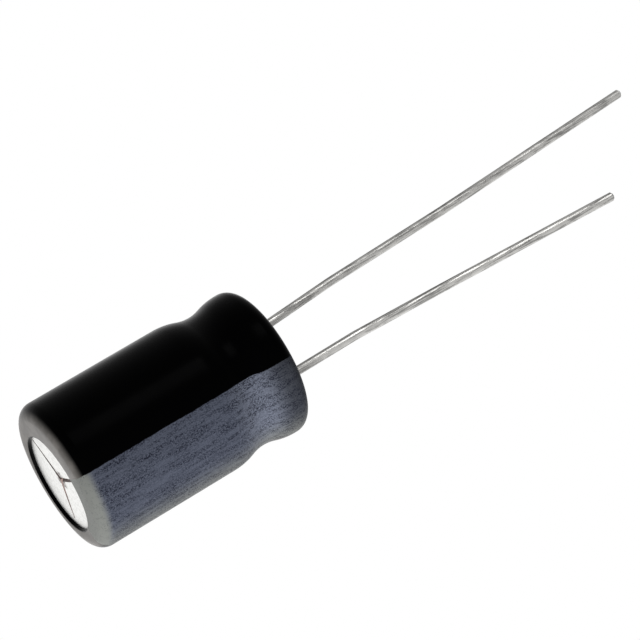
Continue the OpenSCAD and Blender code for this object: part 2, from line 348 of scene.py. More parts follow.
def line_to(bm, vert, radius, height):
    """Draws a straight line of an outline from vert, and returns its other end."""
    end = bmesh.ops.extrude_vert_indiv(bm, verts=[vert])["verts"][0]
    end.co = (radius, 0, height)
    return end


def arc_round(bm, vert, radius, height, angle, step=math.radians(5)):
    """Draws an arc from vert round a centre, towards +Z from +X, and returns its other end."""
    made = bmesh.ops.spin(
        bm,
        geom=[vert],
        cent=(radius, 0, height),
        axis=(0, -1, 0),
        angle=angle,
        steps=max(3, math.ceil(abs(angle) / step)),
    )
    return next(g for g in made["geom_last"] if isinstance(g, bmesh.types.BMVert))


def join(bm, first, second):
    """Joins two ends of an outline."""
    bmesh.ops.contextual_create(bm, geom=[first, second])


def draw_beaded_wall(bm, bead, radius, depth, floor_radius, inset, foot, end):
    """Draws one face of a beaded wall, from its foot's flat up to its end's flat.

    foot and end are (radius where the flat stops, height, corner radius). inset moves the wall
    inwards from the outer face. Returns the two ends of the line.
    """
    high_radius = radius - inset
    low_radius = high_radius - bead.crimp_draw
    low_turn = 2 * math.atan((depth - bead.crimp_draw) / bead.reach_down)
    high_turn = 2 * math.atan(depth / bead.reach_up)
    low_shoulder = bead.reach_down / math.sin(low_turn) - floor_radius - inset
    high_shoulder = bead.reach_up / math.sin(high_turn) - floor_radius - inset
    foot_radius, foot_height, foot_corner = foot
    end_radius, end_height, end_corner = end
    low_height = bead.height - bead.reach_down
    high_height = bead.height + bead.reach_up
    first = bm.verts.new((foot_radius, 0, foot_height))
    vert = line_to(bm, first, low_radius - foot_corner, foot_height)
    vert = arc_round(bm, vert, low_radius - foot_corner, foot_height + foot_corner, QUARTER)
    vert = line_to(bm, vert, low_radius, low_height)
    vert = arc_round(bm, vert, low_radius - low_shoulder, low_height, low_turn, BEAD_STEP)
    floor_centre = high_radius - depth + floor_radius + inset
    vert = arc_round(bm, vert, floor_centre, bead.height, -(low_turn + high_turn), BEAD_STEP)
    vert = arc_round(bm, vert, high_radius - high_shoulder, high_height, high_turn, BEAD_STEP)
    wall_top = end_height - end_corner
    rise = (wall_top - high_height) / WALL_ROWS
    for step in range(1, WALL_ROWS):
        vert = line_to(bm, vert, high_radius, high_height + rise * step)
    vert = line_to(bm, vert, high_radius, wall_top)
    vert = arc_round(bm, vert, high_radius - end_corner, wall_top, QUARTER)
    return first, line_to(bm, vert, end_radius, end_height)


def round_corner(bm, vert, rounding):
    """Rounds a corner of an outline."""
    bmesh.ops.bevel(
        bm,
        geom=[vert],
        offset=rounding,
        offset_type="OFFSET",
        affect="VERTICES",
        segments=CORNER_SEGMENTS,
        profile=0.5,
        material=-1,
    )


def revolve(bm, steps):
    """Spins an outline about Z, and closes its seam."""
    bmesh.ops.spin(
        bm,
        geom=bm.verts[:] + bm.edges[:],
        cent=(0, 0, 0),
        axis=(0, 0, 1),
        angle=2 * math.pi,
        steps=steps,
        use_merge=True,
    )
    bmesh.ops.remove_doubles(bm, verts=bm.verts[:], dist=SEAM_REACH)
    bmesh.ops.recalc_face_normals(bm, faces=bm.faces[:])


def close_ends(bm):
    """Closes the round openings that an outline leaves where it stops short of Z."""
    bmesh.ops.holes_fill(bm, edges=[edge for edge in bm.edges if edge.is_boundary])
    bmesh.ops.recalc_face_normals(bm, faces=bm.faces[:])


def cut_away(piece, cutter):
    """Cuts the cutter out of a piece, merges points that then coincide, and removes the cutter."""
    cut = piece.modifiers.new("cut", "BOOLEAN")
    cut.object = cutter
    cut.operation = "DIFFERENCE"
    cut.solver = "EXACT"
    cut.use_self = True
    graph = bpy.context.evaluated_depsgraph_get()
    mesh = bpy.data.meshes.new_from_object(piece.evaluated_get(graph))
    bm = bmesh.new()
    bm.from_mesh(mesh)
    bmesh.ops.remove_doubles(bm, verts=bm.verts[:], dist=MERGE_REACH)
    bmesh.ops.triangulate(bm, faces=[face for face in bm.faces if len(face.verts) > 4])
    bmesh.ops.dissolve_degenerate(bm, edges=bm.edges[:], dist=MERGE_REACH)
    bm.to_mesh(mesh)
    bm.free()
    old = piece.data
    piece.modifiers.clear()
    piece.data = mesh
    bpy.data.meshes.remove(old)
    old = cutter.data
    bpy.data.objects.remove(cutter)
    bpy.data.meshes.remove(old)


def add_object(name, bm):
    """Turns a bmesh into an object of the scene."""
    mesh = bpy.data.meshes.new(name)
    bm.to_mesh(mesh)
    bm.free()
    piece = bpy.data.objects.new(name, mesh)
    bpy.context.scene.collection.objects.link(piece)
    return piece


def finish_piece(piece, nodes):
    """Shades a finished piece, and puts it on the frame in place of its CAD nodes."""
    piece.data.shade_smooth()
    piece.data.set_sharp_from_angle(angle=SHARP_ANGLE)
    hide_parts(*nodes)
    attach(piece, "root")


# Finishes. Each shader group puts out values that change over the surface.


def scaled(tint, share):
    """A colour made darker or lighter by a share."""
    return [share * channel for channel in tint]


def add_node(tree, kind, inputs=None, **settings):
    """Adds a shader node. inputs are constants or other outputs, by socket name or number."""
    node = tree.nodes.new(kind)
    for name, value in settings.items():
        setattr(node, name, value)
    for name, value in (inputs or {}).items():
        if isinstance(value, bpy.types.NodeSocket):
            tree.links.new(value, node.inputs[name])
        else:
            node.inputs[name].default_value = value
    return node


def sums(tree, operation, first, second=0.5, third=0.5, clamp=False):
    """The output of a Math node."""
    inputs = {0: first, 1: second, 2: third}
    return add_node(tree, "ShaderNodeMath", inputs, operation=operation, use_clamp=clamp).outputs[0]


def span(tree, value, low, high, to_low=0.0, to_high=1.0):
    """Maps a span of a value smoothly on to another."""
    inputs = {0: value, 1: low, 2: high, 3: to_low, 4: to_high}
    return add_node(
        tree, "ShaderNodeMapRange", inputs, interpolation_type="SMOOTHSTEP"
    ).outputs[0]


def stretched(tree, vector, scale):
    """A vector scaled along each axis."""
    return add_node(
        tree, "ShaderNodeVectorMath", {0: vector, 1: scale}, operation="MULTIPLY"
    ).outputs[0]


def off_axis(tree, vector):
    """How far a place lies from Z."""
    return add_node(
        tree, "ShaderNodeVectorMath", {0: stretched(tree, vector, (1, 1, 0))}, operation="LENGTH"
    ).outputs["Value"]


def noise_of(tree, vector, scale, detail=3.0, roughness=0.5):
    """The value of a Noise texture."""
    inputs = {"Vector": vector, "Scale": scale, "Detail": detail, "Roughness": roughness}
    return add_node(tree, "ShaderNodeTexNoise", inputs).outputs[0]


def new_group(name, outputs, inputs):
    """Starts a shader group that reads Position and named numbers, and puts out values."""
    tree = bpy.data.node_groups.new(name, "ShaderNodeTree")
    tree.interface.new_socket("Position", in_out="INPUT", socket_type="NodeSocketVector")
    for socket_name, default in inputs.items():
        socket = tree.interface.new_socket(
            socket_name, in_out="INPUT", socket_type="NodeSocketFloat"
        )
        socket.default_value = default
    for socket_name in outputs:
        tree.interface.new_socket(socket_name, in_out="OUTPUT", socket_type="NodeSocketFloat")
    source = tree.nodes.new("NodeGroupInput")
    result = tree.nodes.new("NodeGroupOutput")
    return tree, source.outputs, result.inputs


def grain_group():
    """Fine grain: moulded rubber, film skin, etched pits or paper fibre, by its scale."""
    tree = bpy.data.node_groups.get("Fine Grain")
    if tree:
        return tree
    tree, given, put = new_group("Fine Grain", ["Grain", "Patches"], {"Scale": 4000, "Patch": 600})
    fine = noise_of(tree, given["Position"], given["Scale"], 4, 0.6)
    broad = noise_of(tree, given["Position"], given["Patch"], 3, 0.55)
    tree.links.new(fine, put["Grain"])
    tree.links.new(span(tree, broad, 0.35, 0.65), put["Patches"])
    return tree


def drawn_group():
    """Marks of drawing or rolling: fine lines along Z, with blotches of wear."""
    tree = bpy.data.node_groups.get("Drawn Lines")
    if tree:
        return tree
    tree, given, put = new_group(
        "Drawn Lines", ["Lines", "Wear"], {"Scale": 9000, "Stretch": 0.05, "Blotch": 900}
    )
    along = add_node(
        tree, "ShaderNodeCombineXYZ", {0: 1.0, 1: 1.0, 2: given["Stretch"]}
    ).outputs[0]
    drawn = stretched(tree, given["Position"], along)
    lines = noise_of(tree, drawn, given["Scale"], 3, 0.6)
    blotches = noise_of(tree, given["Position"], given["Blotch"], 4, 0.6)
    tree.links.new(lines, put["Lines"])
    tree.links.new(span(tree, blotches, 0.4, 0.7), put["Wear"])
    return tree


def new_material(name):
    """A material with its tree, its Principled shader and the place of each point on the part."""
    material = bpy.data.materials.new(name)
    material.use_nodes = True
    tree = material.node_tree
    shader = tree.nodes["Principled BSDF"]
    place = tree.nodes.new("ShaderNodeTexCoord").outputs["Object"]
    return material, tree, shader, place


def use_group(tree, group, place, **numbers):
    """Places a shader group in a material with its own numbers."""
    node = tree.nodes.new("ShaderNodeGroup")
    node.node_tree = group
    tree.links.new(place, node.inputs["Position"])
    for name, value in numbers.items():
        node.inputs[name].default_value = value
    return node.outputs


def mix_colours(tree, share, first, second):
    """A colour between two, by share."""
    node = add_node(tree, "ShaderNodeMix", {"Factor": share}, data_type="RGBA")
    for socket, value in ((node.inputs[6], first), (node.inputs[7], second)):
        if isinstance(value, bpy.types.NodeSocket):
            tree.links.new(value, socket)
        else:
            socket.default_value = (*value, 1)
    return node.outputs[2]


def bump(tree, shader, height, distance):
    """Feeds a height, in units of distance, to a shader's normal."""
    node = add_node(
        tree, "ShaderNodeBump", {"Height": height, "Distance": distance, "Strength": 1.0}
    )
    tree.links.new(node.outputs[0], shader.inputs["Normal"])


def sleeve_material(looks, bead, sizes):
    """Glossy black film with a painted sheen over the end fold, and the speckled ink of the
    polarity stripe with painted sheen, a painted highlight and painted shade.
    """
    material, tree, shader, place = new_material("Shrunk Film")
    axes = add_node(tree, "ShaderNodeSeparateXYZ", {0: place}).outputs
    bearing = sums(tree, "ARCTAN2", axes[1], axes[0])
    azimuth = sums(tree, "ABSOLUTE", bearing)
    wobble = noise_of(tree, place, WOBBLE_SCALE, 2)
    narrowing = span(
        tree, axes[2], bead.height - bead.reach_down / 2, bead.height, looks.stripe_shift, 0.0
    )
    ragged = sums(tree, "MULTIPLY_ADD", wobble, STRIPE_WOBBLE, narrowing)
    edge = sums(tree, "ADD", azimuth, ragged)
    inner_edge, outer_edge = (looks.stripe_half_angle + blur for blur in STRIPE_BLUR)
    stripe = span(tree, edge, inner_edge, outer_edge, 1.0, 0.0)
    specks = use_group(
        tree, grain_group(), stretched(tree, place, SPECK_STRETCH),
        Scale=SPECK_SCALE, Patch=SPECK_PATCH,
    )
    streaks = noise_of(tree, stretched(tree, place, STREAK_STRETCH), STREAK_SCALE, 3, 0.6)
    dark = sums(
        tree, "MULTIPLY",
        span(tree, specks["Grain"], 0.36, 0.64),
        span(tree, streaks, 0.34, 0.62, 0.3, 1.0),
    )
    above_bead = bead.height + bead.reach_up
    # Painted highlight in the dip over the bead, fading out above it.
    tone = mix_colours(
        tree, span(tree, axes[2], bead.height + GROOVE_HIGHLIGHT_RISE, above_bead),
        looks.stripe_groove_highlight, looks.stripe,
    )
    # Painted shade over the rim, below the bead.
    below_bead = bead.height - bead.reach_down
    rim_shade_share = span(tree, axes[2], below_bead, bead.height)
    tone = mix_colours(tree, rim_shade_share, looks.stripe_rim_shade, tone)
    # Painted reflection: the stripe turns to a grey sheen towards its lower edge, by bearing, and
    # over the end fold, by height. The specks thin out where the sheen lies over the fold.
    lower_edge_sheen = span(tree, bearing, *SHEEN_BEARINGS, 0.85, 0.0)
    thin = span(tree, axes[2], *STRIPE_SHEEN_HEIGHTS)
    tone = mix_colours(tree, sums(tree, "MAXIMUM", lower_edge_sheen, thin), tone, looks.stripe_sheen)
    speckled = sums(tree, "MULTIPLY_ADD", thin, -0.6, dark, clamp=True)
    ink = mix_colours(tree, speckled, tone, looks.stripe_speck)
    mottle = span(tree, specks["Patches"], 0, 1, 0.75, 1.0)
    centred = add_node(
        tree, "ShaderNodeVectorMath", {0: place, 1: (*sizes.window_shift, 0)}, operation="SUBTRACT"
    ).outputs[0]
    from_window = off_axis(tree, centred)
    lip = sizes.window + sizes.lip_round
    on_top = span(tree, from_window, lip - LIP_BLUR, lip + LIP_BLUR)
    # Painted reflection: a mottled grey sheen on the film over the end fold, outside the window.
    fold_sheen_mask = sums(tree, "MULTIPLY", span(tree, axes[2], *FOLD_SHEEN_HEIGHTS), mottle)
    fold_sheen_share = sums(tree, "MULTIPLY", fold_sheen_mask, on_top)
    film = mix_colours(tree, fold_sheen_share, looks.film, looks.fold_sheen)
    inked = sums(tree, "MULTIPLY", stripe, on_top)
    tree.links.new(mix_colours(tree, inked, film, ink), shader.inputs["Base Color"])
    film_rough = span(tree, specks["Patches"], 0, 1, *FILM_ROUGHNESS)
    ink_rough = span(tree, specks["Grain"], 0.3, 0.7, *INK_ROUGHNESS)
    rough = sums(
        tree, "MULTIPLY_ADD", stripe, sums(tree, "SUBTRACT", ink_rough, film_rough), film_rough
    )
    tree.links.new(rough, shader.inputs["Roughness"])
    height = sums(
        tree, "MULTIPLY_ADD",
        sums(tree, "MULTIPLY", specks["Grain"], stripe), INK_RELIEF,
        sums(tree, "MULTIPLY", specks["Patches"], FILM_RELIEF),
    )
    bump(tree, shader, height, RELIEF_HEIGHT)
    shader.inputs["IOR"].default_value = FILM_IOR
    shader.inputs["Specular Tint"].default_value = (*(FILM_FACING,) * 3, 1)
    return material


def aluminium_material(
    name, tint, roughness, stretch=0.05, lines=0.004 * MM, dull=0.86, scale=7000
):
    """Drawn metal, with fine lines and blotches of wear. dull is how much light the lines keep."""
    material, tree, shader, place = new_material(name)
    marks = use_group(tree, drawn_group(), place, Scale=scale, Stretch=stretch, Blotch=1200)
    share = span(tree, sums(tree, "MULTIPLY_ADD", marks["Wear"], 0.08, marks["Lines"]), 0.45, 0.65)
    tree.links.new(mix_colours(tree, share, tint, scaled(tint, dull)), shader.inputs["Base Color"])
    shader.inputs["Metallic"].default_value = 1
    tree.links.new(
        span(tree, marks["Lines"], 0.2, 0.8, roughness - 0.06, roughness + 0.08),
        shader.inputs["Roughness"],
    )
    bump(tree, shader, marks["Lines"], lines)
    return material


def grained_material(name, tint, second_tint, roughness, scale, patch, depth, metallic=0.0):
    """A grained surface: rubber, foil, paper or tape."""
    material, tree, shader, place = new_material(name)
    marks = use_group(tree, grain_group(), place, Scale=scale, Patch=patch)
    patches = sums(tree, "MULTIPLY", marks["Patches"], 0.4)
    share = sums(tree, "MULTIPLY_ADD", marks["Grain"], 0.6, patches)
    tree.links.new(mix_colours(tree, share, tint, second_tint), shader.inputs["Base Color"])
    shader.inputs["Metallic"].default_value = metallic
    tree.links.new(
        span(tree, marks["Grain"], 0.25, 0.75, roughness - 0.08, roughness + 0.08),
        shader.inputs["Roughness"],
    )
    bump(tree, shader, marks["Grain"], depth)
    return material


class CAPACITOR_OT_sleeve(bpy.types.Operator):
    """Builds the heat-shrunk sleeve with its polarity stripe"""

    bl_idname = "capacitor.sleeve"
    bl_label = "Sleeve"

    def execute(self, context):
        settings = context.scene.capacitor
        bead, sizes = settings.bead, settings.sleeve
        radius, top = SLEEVE_HIGH.x, SLEEVE_HIGH.z
        bm = bmesh.new()
        outer = draw_beaded_wall(
            bm, bead, radius, sizes.dip, sizes.dip_radius, 0,
            (sizes.foot_hole, 0, sizes.foot_corner), (sizes.window, top, sizes.end_corner),
        )
        inner_foot = (sizes.foot_hole, CAN_LOW.z, sizes.foot_corner - sizes.wall)
        inner_end = (sizes.window, CAN_HIGH.z + FILM_GAP, sizes.end_corner - sizes.wall)
        inner = draw_beaded_wall(
            bm, bead, radius, sizes.dip, sizes.dip_radius, sizes.wall, inner_foot, inner_end
        )
        join(bm, outer[0], inner[0])
        join(bm, outer[1], inner[1])
        round_corner(bm, outer[1], sizes.lip_round)
        revolve(bm, bead.turn_steps)
        self.shift_window(bm, sizes, radius - sizes.end_corner)
        self.add_shrink_waves(bm, sizes)
        piece = add_object("sleeve_film", bm)
        piece.data.materials.append(sleeve_material(settings.sleeve_looks, bead, sizes))
        finish_piece(piece, ["sleeve"])
        return {"FINISHED"}

    @staticmethod
    def shift_window(bm, sizes, flat_radius):
        """Moves the window off the axis, and lets the flat ring round it follow."""
        shift = Vector((*sizes.window_shift, 0))
        for vert in bm.verts:
            if vert.co.z > CAN_HIGH.z:
                inwards = flat_radius - vert.co.to_2d().length
                vert.co += shift * max(0, min(1, inwards / (flat_radius - sizes.window)))

    @staticmethod
    def add_shrink_waves(bm, sizes):
        """Pulls the film in by low waves, as it does where it has shrunk unevenly."""
        for vert in bm.verts:
            spread = Vector((vert.co.x, vert.co.y, 0))
            place = Vector((vert.co.x, vert.co.y, vert.co.z * WAVE_STRETCH))
            wave = noise.noise(place * WAVE_SCALE)
            vert.co -= spread.normalized() * sizes.shrink_waves * (0.5 + 0.5 * wave)


class CAPACITOR_OT_can(bpy.types.Operator):
    """Builds the drawn can with its bead, its curled rim and the scores of its vent"""

    bl_idname = "capacitor.can"
    bl_label = "Can"

    def execute(self, context):
        settings = context.scene.capacitor
        bead, sizes = settings.bead, settings.can
        radius, top, foot = CAN_HIGH.x, CAN_HIGH.z, CAN_LOW.z
        hub = sizes.score_length / 8
        rim = sizes.rim_hole + sizes.wall / 2
        bm = bmesh.new()
        outer = draw_beaded_wall(
            bm, bead, radius, sizes.bead_depth, sizes.bead_radius, 0,
            (rim, foot, sizes.corner), (hub, top, sizes.corner),
        )
        inner_corner = sizes.corner - sizes.wall
        inner = draw_beaded_wall(
            bm, bead, radius, sizes.bead_depth, sizes.bead_radius, sizes.wall,
            (rim, foot + sizes.wall, inner_corner), (hub, top - sizes.end_wall, inner_corner),
        )
        rolled = arc_round(bm, inner[0], rim, foot + sizes.wall / 2, 2 * QUARTER, math.radians(20))
        bmesh.ops.weld_verts(bm, targetmap={rolled: outer[0]})
        revolve(bm, bead.turn_steps)
        close_ends(bm)
        piece = add_object("drawn_can", bm)
        tints = settings.metals
        drawn = aluminium_material("Drawn Aluminium", tints.aluminium, 0.48)
        # Painted shade: ragged brownish patches on the metal where the vent's scores meet.
        self.paint_vent_shade(drawn, tints.score, top)
        piece.data.materials.append(drawn)
        # The second slot holds painted shade for the faces in the scores.
        piece.data.materials.append(
            aluminium_material("Score Groove Shade", tints.score, 0.5, 1.0, 0.01 * MM)
        )
        cut_away(piece, self.score_blades(sizes, top))
        self.paint_scores(piece, sizes, top)
        finish_piece(piece, ["can"])
        return {"FINISHED"}

    @staticmethod
    def score_blades(sizes, top):
        """Three V-shaped blades that run out at their tips."""
        bm = bmesh.new()
        above = sizes.score_depth
        half = sizes.score_width / 2 * (above + sizes.score_depth) / sizes.score_depth
        for turn in range(3):
            ridge = [
                bm.verts.new((0, -half, top + above)),
                bm.verts.new((0, 0, top - sizes.score_depth)),
                bm.verts.new((0, half, top + above)),
            ]
            face = bmesh.ops.contextual_create(bm, geom=ridge)["faces"][0]
            grown = bmesh.ops.extrude_face_region(bm, geom=[face])["geom"]
            far = [g for g in grown if isinstance(g, bmesh.types.BMVert)]
            bmesh.ops.translate(bm, verts=far, vec=(sizes.score_length, 0, 0))
            for vert in far:
                if vert.co.z < top:
                    vert.co.z = top - sizes.score_depth / 4
            arm = ridge + far
            bmesh.ops.rotate(
                bm, verts=arm, cent=(0, 0, 0),
                matrix=Matrix.Rotation(sizes.score_turn + turn * math.tau / 3, 3, "Z"),
            )
        bmesh.ops.recalc_face_normals(bm, faces=bm.faces[:])
        return add_object("score_blades", bm)

    @staticmethod
    def paint_vent_shade(material, tint, top):
        """Paints ragged patches of shade on the metal where the scores meet."""
        tree = material.node_tree
        shader = tree.nodes["Principled BSDF"]
        metal = shader.inputs["Base Color"].links[0].from_socket
        place = tree.nodes.new("ShaderNodeTexCoord").outputs["Object"]
        axes = add_node(tree, "ShaderNodeSeparateXYZ", {0: place}).outputs
        reach = off_axis(tree, place)
        blotches = noise_of(tree, place, VENT_SHADE_SCALE, 3)
        ragged = sums(tree, "MULTIPLY_ADD", blotches, VENT_SHADE_REACH, reach)
        vent_shade = sums(
            tree, "MULTIPLY",
            span(tree, ragged, *VENT_SHADE_EDGE, VENT_SHADE_SHARE, 0.0),
            span(tree, axes[2], *(top - depth for depth in VENT_SHADE_DEPTHS)),
        )
        tree.links.new(mix_colours(tree, vent_shade, metal, tint), shader.inputs["Base Color"])

    @staticmethod
    def paint_scores(piece, sizes, top):
        """Gives the faces in the scores the dark score colour, which is painted shade in the
        grooves.
        """
        for face in piece.data.polygons:
            centre = Vector(face.center)
            near = centre.to_2d().length < sizes.score_length
            deep = top - PAINTED_DEPTH * sizes.score_depth < centre.z < top - SURFACE_SKIN
            face.material_index = 1 if near and deep else 0


class CAPACITOR_OT_bung(bpy.types.Operator):
    """Builds the rubber bung with a stepped hole for each lead"""

    bl_idname = "capacitor.bung"
    bl_label = "Bung"

    def execute(self, context):
        settings = context.scene.capacitor
        bead, sizes, can, leads = settings.bead, settings.bung, settings.can, settings.leads
        inset = can.wall + sizes.fit
        shelf = CAN_LOW.z + inset
        top = BUNG_HIGH.z
        face_radius = can.rim_hole - sizes.face_gap
        bm = bmesh.new()
        wall = draw_beaded_wall(
            bm, bead, CAN_HIGH.x, can.bead_depth, can.bead_radius, inset,
            (face_radius, shelf, can.corner - inset), (BUNG_HUB, CAN_HIGH.z, can.corner - inset),
        )
        corner = line_to(bm, wall[0], face_radius, BUNG_LOW.z)
        line_to(bm, corner, BUNG_HUB, BUNG_LOW.z)
        round_corner(bm, corner, sizes.face_edge)
        bmesh.ops.bisect_plane(
            bm, geom=bm.verts[:] + bm.edges[:], plane_co=(0, 0, top), plane_no=(0, 0, 1),
            clear_outer=True,
        )
        highest = max(bm.verts, key=lambda vert: vert.co.z)
        line_to(bm, highest, BUNG_HUB, highest.co.z)
        revolve(bm, bead.turn_steps // 2)
        close_ends(bm)
        piece = add_object("rubber_bung", bm)
        cut_away(piece, self.hole_pins(sizes, leads, top))
        tint = settings.metals.rubber
        piece.data.materials.clear()
        piece.data.materials.append(
            grained_material(
                "Moulded Rubber", tint, scaled(tint, 1.8), 0.62, 3800, 700, 0.012 * MM
            )
        )
        finish_piece(piece, ["bung"])
        return {"FINISHED"}

    @staticmethod
    def hole_pins(sizes, leads, top):
        """The stepped pins that leave the holes. The thin ones end inside the thick ones."""
        bm = bmesh.new()
        for side in (-1, 1):
            for radius, low, high in (
                (sizes.wire_hole, BUNG_LOW.z - MM, TAB_LOW.z + MM),
                (sizes.stem_hole, TAB_LOW.z, top + MM),
            ):
                bmesh.ops.create_cone(
                    bm, cap_ends=True, segments=PIN_SEGMENTS, radius1=radius, radius2=radius,
                    depth=high - low,
                    matrix=Matrix.Translation((side * leads.pitch / 2, 0, (low + high) / 2)),
                )
        return add_object("hole_pins", bm)


class CAPACITOR_OT_leads(bpy.types.Operator):
    """Builds the two tinned wires, each with its weld, its gentle bends and its cut end"""

    bl_idname = "capacitor.leads"
    bl_label = "Leads"

    def execute(self, context):
        settings = context.scene.capacitor
        sizes = settings.leads
        material = self.wire_material(settings.metals.tin)
        for node, side, bends, lengths in (
            ("anode_lead", -1, sizes.anode_bends, sizes.anode_lengths),
            ("cathode_lead", 1, sizes.cathode_bends, sizes.cathode_lengths),
        ):
            bm = self.wire(sizes, side, bends, lengths)
            piece = add_object(node.replace("lead", "wire"), bm)
            piece.data.materials.append(material)
            finish_piece(piece, [node])
        return {"FINISHED"}

    @staticmethod
    def wire_material(tint):
        """Tinned wire with long drawing marks."""
        material = aluminium_material("Tinned Wire", tint, 0.32, 0.012, 0.02 * MM, 0.42, 9500)
        shader = material.node_tree.nodes["Principled BSDF"]
        shader.inputs["Metallic"].default_value = WIRE_METALLIC
        shader.inputs["Specular Tint"].default_value = (*(WIRE_FACING,) * 3, 1)
        return material

    @staticmethod
    def wire(sizes, side, bends, lengths):
        """One wire, drawn down from the weld under its stem."""
        bm = bmesh.new()
        top = TAB_LOW.z
        nugget_height = top - sizes.weld_radius / 3
        chord = math.sqrt(sizes.weld_radius**2 - (sizes.weld_radius / 3) ** 2)
        below = math.asin(math.sqrt(1 - (sizes.radius / sizes.weld_radius) ** 2))
        vert = line_to(bm, bm.verts.new((0, 0, top)), chord, top)
        above = math.asin(1 / 3)
        vert = arc_round(bm, vert, 0, nugget_height, -(above + below), math.radians(10))
        line_to(bm, vert, sizes.radius, 0)
        revolve(bm, WIRE_SEGMENTS)
        ring = [edge for edge in bm.edges if edge.is_boundary]
        place, heading = Vector((0, 0, 0)), 0.0
        for bend, reach in zip(bends, lengths):
            across = Vector((math.copysign(math.cos(heading), bend), 0, 0))
            across.z = math.copysign(math.sin(heading), bend)
            centre = place + across * sizes.bend_radius
            made = bmesh.ops.spin(
                bm, geom=ring, cent=centre, axis=(0, math.copysign(1, bend), 0),
                angle=-abs(bend), steps=BEND_STEPS,
            )["geom_last"]
            turn = Matrix.Rotation(-bend, 3, "Y")
            place = centre + turn @ (place - centre)
            heading += bend
            ring = [g for g in made if isinstance(g, bmesh.types.BMEdge)]
            along = Vector((math.sin(heading), 0, -math.cos(heading)))
            for _ in range(STRETCH_ROWS):
                ring = CAPACITOR_OT_leads.push_ring(bm, ring, along * reach / STRETCH_ROWS)
            place += along * reach
        ring = CAPACITOR_OT_leads.push_ring(bm, ring, along * sizes.tip_bevel)
        rim = list({vert for edge in ring for vert in edge.verts})
        shrink = 1 - sizes.tip_bevel / sizes.radius
        tip = place + along * sizes.tip_bevel
        bmesh.ops.scale(bm, verts=rim, vec=(shrink,) * 3, space=Matrix.Translation(-tip))
        bmesh.ops.holes_fill(bm, edges=ring)
        bmesh.ops.scale(bm, verts=bm.verts[:], vec=(side, 1, 1))
        bmesh.ops.translate(bm, verts=bm.verts[:], vec=(side * sizes.pitch / 2, 0, 0))
        bmesh.ops.recalc_face_normals(bm, faces=bm.faces[:])
        return bm

    @staticmethod
    def push_ring(bm, ring, step):
        """Extrudes the open ring at the wire's end by a step, and returns the new ring."""
        old = {vert for edge in ring for vert in edge.verts}
        made = bmesh.ops.extrude_edge_only(bm, edges=ring)["geom"]
        verts = [g for g in made if isinstance(g, bmesh.types.BMVert)]
        bmesh.ops.translate(bm, verts=verts, vec=step)
        edges = [g for g in made if isinstance(g, bmesh.types.BMEdge)]
        return [edge for edge in edges if not old.intersection(edge.verts)]


class CAPACITOR_OT_winding(bpy.types.Operator):
    """Gives the tabs, the foils, the papers and the tape inside the can their finishes"""

    bl_idname = "capacitor.winding"
    bl_label = "Winding"

    def execute(self, context):
        tints = context.scene.capacitor.metals
        tab = aluminium_material("Pressed Aluminium", tints.aluminium, 0.35, 0.1)
        etched = grained_material(
            "Etched Foil", tints.etched_foil, scaled(tints.etched_foil, 0.7),
            0.7, 12000, 900, 0.01 * MM, 0.6,
        )
        plain = aluminium_material("Plain Foil", tints.plain_foil, 0.4, 0.3, 0.002 * MM)
        paper = grained_material(
            "Separator Paper", tints.paper, scaled(tints.paper, 0.75),
            0.8, 6000, 500, 0.01 * MM,
        )
        tape = grained_material(
            "Closing Tape", tints.tape, scaled(tints.tape, 0.8), 0.35, 3000, 500, 0.003 * MM
        )
        finishes = {
            "anode_tab": tab,
            "cathode_tab": tab,
            "anode_foil": etched,
            "cathode_foil": plain,
            "inner_separator": paper,
            "outer_separator": paper,
            "closing_tape": tape,
        }
        for name, material in finishes.items():
            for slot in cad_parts[name].material_slots:
                slot.material = material
        return {"FINISHED"}


